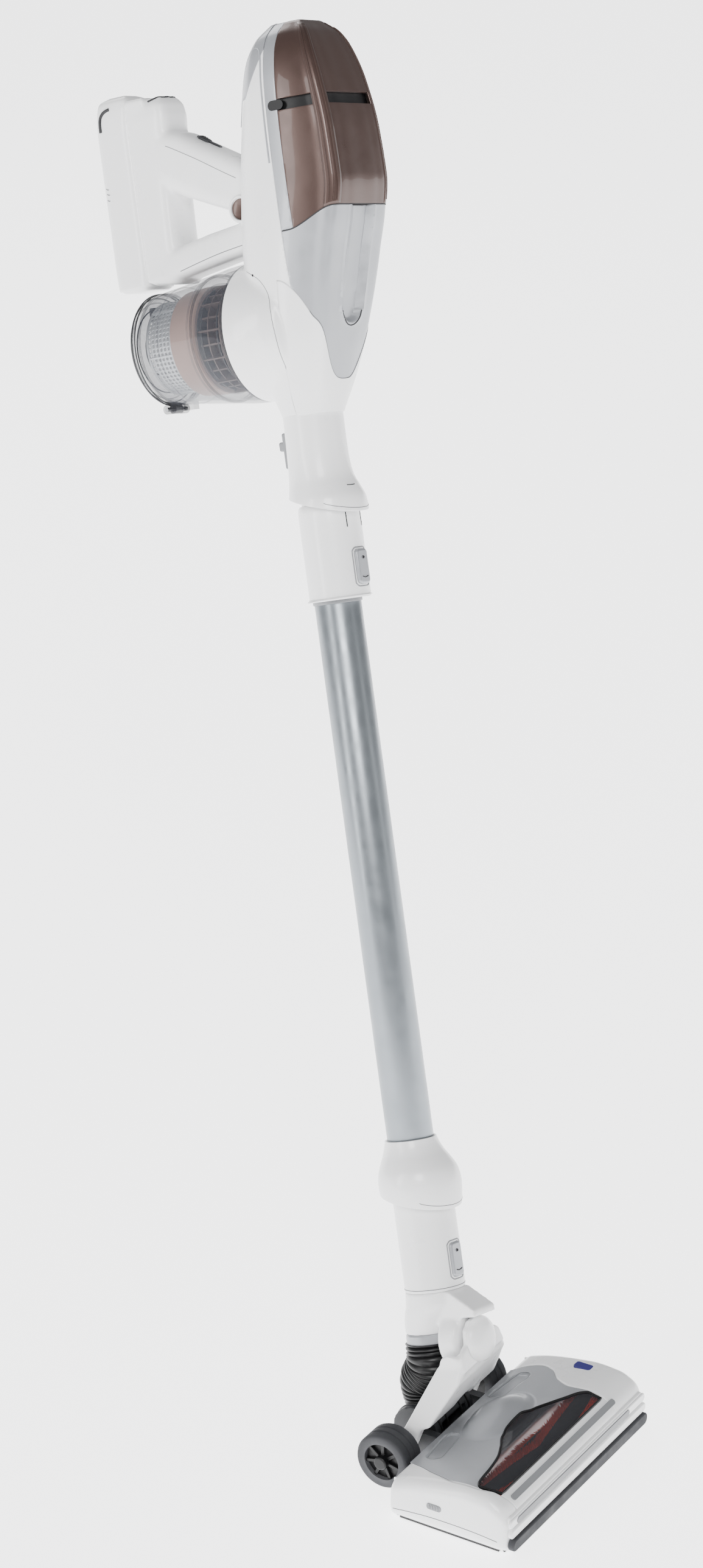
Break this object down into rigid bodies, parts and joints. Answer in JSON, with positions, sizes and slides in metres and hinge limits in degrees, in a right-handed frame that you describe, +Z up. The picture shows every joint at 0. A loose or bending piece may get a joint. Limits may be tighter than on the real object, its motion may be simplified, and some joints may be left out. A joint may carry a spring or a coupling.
{
  "type": "cordless stick vacuum",
  "caption": "Cordless stick vacuum: handheld unit with dust cup and battery on a metal wand, with a powered floor head on a pitching and rolling neck.",
  "frame": {"origin": "on the flat underside of the floor head, midway across it, between the brush opening and the rear edge", "axes": "+Z up from the floor, -Y towards the front of the floor head, +X to its left as it faces forward"},
  "size_m": [0.3669, 0.5597, 1.0091],
  "materials": {
    "white_plastic": "gloss white moulding",
    "silver_plastic": "silver-grey lacquer",
    "grey_plastic": "satin grey",
    "dark_plastic": "satin dark grey",
    "black_plastic": "matt black",
    "rubber": "soft dark grey",
    "bronze_lacquer": "glossy metallic bronze lacquer",
    "tube_metal": "satin anodised",
    "steel": "bright",
    "smoke_plastic": "smoked clear plastic",
    "clear_plastic": "clear plastic",
    "tan_plastic": "tan",
    "mesh_metal": "perforated screen",
    "bristle": "red bristle strips",
    "lamp": "blue-violet lens",
    "board": "green circuit board",
    "motor": "motor housing"
  },
  "bodies": {
    "floor_head": {"head_base": "white_plastic", "head_cover": "silver_plastic", "brush_window": "smoke_plastic", "front_bumper": "rubber", "lower_trim": "grey_plastic", "upper_trim": "silver_plastic", "head_lamp": "lamp", "brush_bearing": "steel", "brush_motor": "motor", "drive_belt": "rubber", "air_duct": "dark_plastic", "axle_bracket_left": "dark_plastic", "axle_bracket_right": "dark_plastic", "axle_left": "steel", "axle_right": "steel"},
    "brush": {"brush_roller": "bristle", "roller_pulley": "dark_plastic"},
    "motor_shaft": {"motor_pulley": "dark_plastic"},
    "roller_latch": {"roller_release_latch": "grey_plastic"},
    "sole_wheel_left": {"sole_roller_left": "rubber"},
    "sole_wheel_right": {"sole_roller_right": "rubber"},
    "left_wheel": {"wheel_left": "rubber"},
    "right_wheel": {"wheel_right": "rubber"},
    "neck": {"neck_yoke": "white_plastic", "hose_drum": "dark_plastic", "neck_hose": "rubber"},
    "swivel": {"neck_elbow": "white_plastic", "hose_ring": "silver_plastic", "swivel_pin": "silver_plastic", "lower_sleeve": "white_plastic"},
    "lower_button": {"lower_release_button": "silver_plastic"},
    "wand": {"lower_connector": "white_plastic", "wand_tube": "tube_metal", "upper_collar": "white_plastic"},
    "upper_button": {"upper_release_button": "silver_plastic"},
    "hand_unit": {"body_shell": "white_plastic", "cover_frame": "silver_plastic", "cover_lower": "bronze_lacquer", "cover_upper": "bronze_lacquer", "vent_band": "black_plastic", "front_panel": "silver_plastic", "nozzle": "white_plastic", "suction_motor": "motor", "motor_filter": "mesh_metal", "control_board": "board", "handle_shell": "white_plastic", "trigger_spring": "steel"},
    "nozzle_lever": {"nozzle_latch": "grey_plastic"},
    "impeller": {"fan_impeller": "grey_plastic"},
    "trigger_key": {"trigger": "bronze_lacquer"},
    "slider": {"mode_slider": "dark_plastic"},
    "cup": {"dust_cup": "clear_plastic", "mesh_screen": "mesh_metal", "cyclone_core": "tan_plastic", "lid_hinge_pin": "steel"},
    "lid": {"cup_lid": "smoke_plastic"},
    "lid_latch": {"cup_latch": "dark_plastic"},
    "battery": {"battery_pack": "white_plastic", "charge_socket": "black_plastic"},
    "battery_button": {"battery_release": "dark_plastic"}
  },
  "joints": [
    {"name": "neck_pitch", "type": "hinge", "parent": "floor_head", "child": "neck", "pos_m": [0, 0.054, 0.022], "axis": [-1, 0, 0], "range_deg": [-18.3, 61.7]},
    {"name": "neck_roll", "type": "hinge", "parent": "neck", "child": "swivel", "pos_m": [0, 0.05083, 0.09046], "axis": [0, 0.9494, -0.314], "range_deg": [-55.7, 28.3], "deforming": ["neck_hose"]},
    {"name": "lower_button_press", "type": "slide", "parent": "swivel", "child": "lower_button", "axis": [0, 0.9494, -0.314], "range_m": [0, 0.0014], "stiffness_N_per_m": 400, "springref_m": -0.002},
    {"name": "wand_release", "type": "slide", "parent": "swivel", "child": "wand", "axis": [0.2368, 0.3051, 0.9224], "range_m": [0, 0.05]},
    {"name": "upper_button_press", "type": "slide", "parent": "wand", "child": "upper_button", "axis": [0, 0.9494, -0.314], "range_m": [0, 0.0011], "stiffness_N_per_m": 400, "springref_m": -0.002},
    {"name": "unit_release", "type": "slide", "parent": "wand", "child": "hand_unit", "axis": [0.2368, 0.3051, 0.9224], "range_m": [0, 0.05]},
    {"name": "nozzle_latch_press", "type": "slide", "parent": "hand_unit", "child": "nozzle_lever", "axis": [0, -0.9494, 0.314], "range_m": [0, 0.0012], "stiffness_N_per_m": 400, "springref_m": -0.002},
    {"name": "fan_spin", "type": "hinge", "parent": "hand_unit", "child": "impeller", "pos_m": [0.20155, 0.29145, 0.88171], "axis": [0.2368, 0.3051, 0.9224], "continuous": true},
    {"name": "trigger_pull", "type": "slide", "parent": "hand_unit", "child": "trigger_key", "axis": [0.2368, 0.3051, 0.9224], "range_m": [0, 0.005], "stiffness_N_per_m": 500, "springref_m": -0.003, "deforming": ["trigger_spring"]},
    {"name": "mode_slide", "type": "slide", "parent": "hand_unit", "child": "slider", "axis": [0.1376, 0.95, 0.2804], "range_m": [-0.006, 0.006]},
    {"name": "cup_release", "type": "slide", "parent": "hand_unit", "child": "cup", "axis": [-0.2051, 0.2105, -0.9558], "range_m": [0, 0.08]},
    {"name": "lid_hinge", "type": "hinge", "parent": "cup", "child": "lid", "pos_m": [0.16934, 0.38716, 0.71089], "axis": [-0.9715, 0.0744, 0.2249], "range_deg": [0, 95]},
    {"name": "lid_latch_press", "type": "slide", "parent": "lid", "child": "lid_latch", "axis": [-0.2368, -0.3051, -0.9224], "range_m": [0, 0.003], "stiffness_N_per_m": 300, "springref_m": -0.002},
    {"name": "battery_slide", "type": "slide", "parent": "hand_unit", "child": "battery", "axis": [0.2368, 0.3051, 0.9224], "range_m": [0, 0.1]},
    {"name": "battery_button_press", "type": "slide", "parent": "battery", "child": "battery_button", "axis": [-0.2368, -0.3051, -0.9224], "range_m": [0, 0.0025], "stiffness_N_per_m": 400, "springref_m": -0.002},
    {"name": "brush_spin", "type": "hinge", "parent": "floor_head", "child": "brush", "pos_m": [0, -0.041, 0.021], "axis": [1, 0, 0], "continuous": true},
    {"name": "motor_spin", "type": "hinge", "parent": "floor_head", "child": "motor_shaft", "pos_m": [0, 0.006, 0.018], "axis": [1, 0, 0], "continuous": true},
    {"name": "left_wheel_spin", "type": "hinge", "parent": "floor_head", "child": "left_wheel", "pos_m": [-0.064, 0.054, 0.022], "axis": [1, 0, 0], "continuous": true},
    {"name": "right_wheel_spin", "type": "hinge", "parent": "floor_head", "child": "right_wheel", "pos_m": [0.064, 0.054, 0.022], "axis": [1, 0, 0], "continuous": true},
    {"name": "sole_left_spin", "type": "hinge", "parent": "floor_head", "child": "sole_wheel_left", "pos_m": [-0.07, 0.0205, 0.005], "axis": [1, 0, 0], "continuous": true},
    {"name": "sole_right_spin", "type": "hinge", "parent": "floor_head", "child": "sole_wheel_right", "pos_m": [0.07, 0.0205, 0.005], "axis": [1, 0, 0], "continuous": true},
    {"name": "roller_latch_slide", "type": "slide", "parent": "floor_head", "child": "roller_latch", "axis": [0, 1, 0], "range_m": [0, 0.006]}
  ],
  "couplings": [
    {"joint": "motor_spin", "follows": "brush_spin", "ratio": 2.4}
  ]
}
